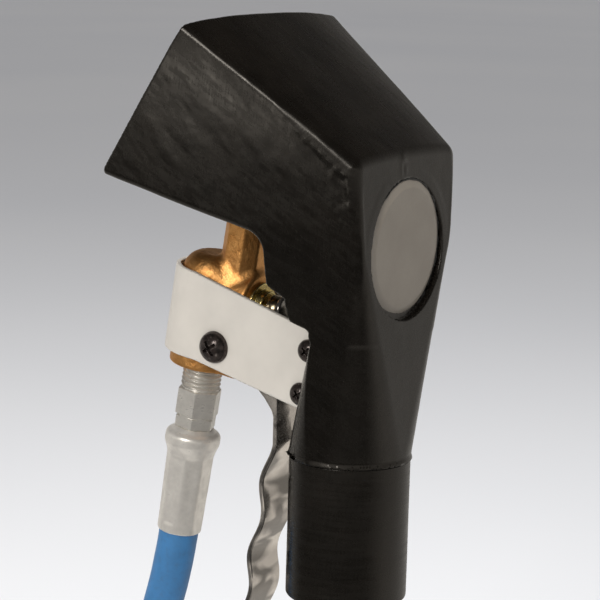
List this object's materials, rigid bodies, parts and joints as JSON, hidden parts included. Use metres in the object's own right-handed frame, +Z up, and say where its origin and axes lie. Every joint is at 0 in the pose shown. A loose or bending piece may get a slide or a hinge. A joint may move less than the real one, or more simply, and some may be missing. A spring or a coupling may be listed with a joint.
{
  "type": "spray and vacuum hand tool",
  "caption": "Hand tool with a wide hollow suction head on a short hose tube, a round window, a lever-operated brass spray valve in a strap, and a solution hose.",
  "frame": {"origin": "centre of the vacuum tube's open bottom end", "axes": "+Z up the tube, -Y the side the mouth faces, X across the mouth; X = 0 is the mirror plane"},
  "size_m": [0.0892, 0.1588, 0.3084],
  "materials": {
    "moulding": "semi-gloss black, hand-sanded, faint brown cast",
    "cover": "semi-gloss black",
    "divider": "matt black",
    "tube": "semi-gloss black",
    "lens": "frosted clear disc with a bevelled rim",
    "sealant": "uneven black bead",
    "strap": "cream-grey satin paint",
    "screws": "dark bronze-black",
    "bolt": "dark bronze-black",
    "nut": "zinc plated",
    "spacer": "natural nylon",
    "lever": "polished stainless",
    "cast_brass": "grainy as-cast brass",
    "end_plug": "turned brass",
    "spring": "stainless wire",
    "poppet": "turned brass",
    "rubber_seal": "black rubber",
    "o_ring": "black rubber",
    "packing_brass": "bright turned brass",
    "button": "worn bright tip",
    "gasket": "black rubber",
    "elbow_brass": "turned brass",
    "strainer": "fine stainless mesh",
    "tip_brass": "turned brass",
    "fitting": "nickel plated",
    "ferrule": "nickel plated, crimped",
    "hose": "matt blue cover",
    "end_ferrule": "nickel plated, crimped",
    "plug": "turned brass",
    "plug_seal": "black rubber"
  },
  "bodies": {
    "tool": {"head_shell": "moulding", "back_cover": "cover", "divider_plate": "divider", "vacuum_tube": "tube", "window_lens": "lens", "window_seal": "sealant", "strap": "strap", "strap_screws": "screws", "pivot_bolt": "bolt", "pivot_nut": "nut", "pivot_spacers": "spacer", "valve_body": "cast_brass", "valve_end_plug": "end_plug", "valve_spring": "spring", "stem_o_ring": "o_ring", "packing_nut": "packing_brass", "nozzle_gasket": "gasket", "nozzle_elbow": "elbow_brass", "nozzle_strainer": "strainer", "spray_tip": "tip_brass", "inlet_fitting": "fitting", "fitting_ferrule": "ferrule", "solution_hose": "hose", "plug_ferrule": "end_ferrule", "quick_plug": "plug", "plug_o_ring": "plug_seal"},
    "lever": {"trigger_lever": "lever"},
    "plunger": {"valve_poppet": "poppet", "poppet_washer": "rubber_seal", "plunger_button": "button"}
  },
  "joints": [
    {"name": "lever_pivot", "type": "hinge", "parent": "tool", "child": "lever", "pos_m": [0, -0.0429, 0.0761], "axis": [1, 0, 0], "range_deg": [0, 4]},
    {"name": "plunger_slide", "type": "slide", "parent": "tool", "child": "plunger", "axis": [0, -0.9888, 0.1495], "range_m": [0, 0.00085], "deforming": ["valve_spring"]}
  ],
  "couplings": [
    {"joint": "plunger_slide", "follows": "lever_pivot", "m_per_rad": 0.0118}
  ]
}
